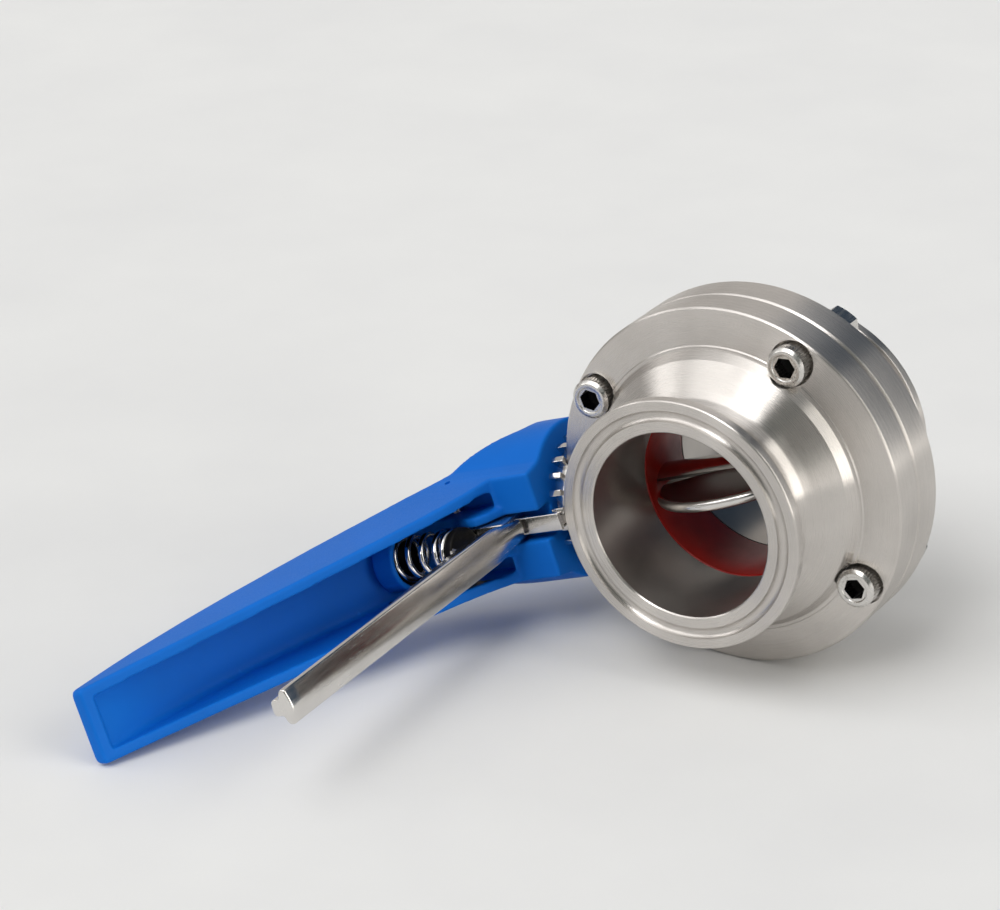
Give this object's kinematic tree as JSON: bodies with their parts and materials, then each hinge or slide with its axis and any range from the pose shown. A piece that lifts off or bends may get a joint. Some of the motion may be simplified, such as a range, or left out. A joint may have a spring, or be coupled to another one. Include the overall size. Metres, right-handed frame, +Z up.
{
  "type": "sanitary butterfly valve",
  "caption": "Hygienic clamp-end butterfly valve, open, with a blue trigger lever on a notched index plate, red seat ring and through bolts.",
  "frame": {"origin": "under the middle of the valve's bounding box, on the table it lies on", "axes": "+Z up; -Y along the flow axis, out of the front ferrule; the stem runs towards -X, 18.4 degrees down, because the valve lies on its rims and the tip of its lever"},
  "size_m": [0.161, 0.163, 0.0929],
  "materials": {
    "turned_steel": "turned, satin",
    "polished_steel": "polished",
    "fastener_steel": "satin",
    "spring_steel": "bright drawn wire",
    "blue_plastic": "moulded, half matt",
    "red_silicone": "smooth, half matt",
    "white_plastic": "machined"
  },
  "bodies": {
    "valve_body": {"body_front": "turned_steel", "body_rear": "turned_steel", "seat": "red_silicone", "upper_bush": "white_plastic", "lower_bush": "white_plastic", "index_plate": "polished_steel", "body_bolt_1": "fastener_steel", "body_bolt_2": "fastener_steel", "body_bolt_3": "fastener_steel", "body_bolt_4": "fastener_steel", "body_nut_1": "fastener_steel", "body_nut_2": "fastener_steel", "body_nut_3": "fastener_steel", "body_nut_4": "fastener_steel"},
    "disc_and_handle": {"disc_and_stem": "polished_steel", "handle": "blue_plastic", "handle_washer": "fastener_steel", "handle_screw": "fastener_steel", "trigger_pin": "fastener_steel", "trigger_spring": "spring_steel"},
    "trigger_lever": {"trigger": "polished_steel"}
  },
  "joints": [
    {"name": "stem_turn", "type": "hinge", "parent": "valve_body", "child": "disc_and_handle", "pos_m": [0.03412, 0.0465, 0.0465], "axis": [-0.9486, 0, -0.3164], "range_deg": [0, 90]},
    {"name": "trigger_squeeze", "type": "hinge", "parent": "disc_and_handle", "child": "trigger_lever", "pos_m": [-0.03798, 0.028, 0.02246], "axis": [0.3164, 0, -0.9486], "range_deg": [0, 10], "stiffness_Nm_per_rad": 0.55, "springref_deg": -21.2, "deforming": ["trigger_spring"]}
  ]
}
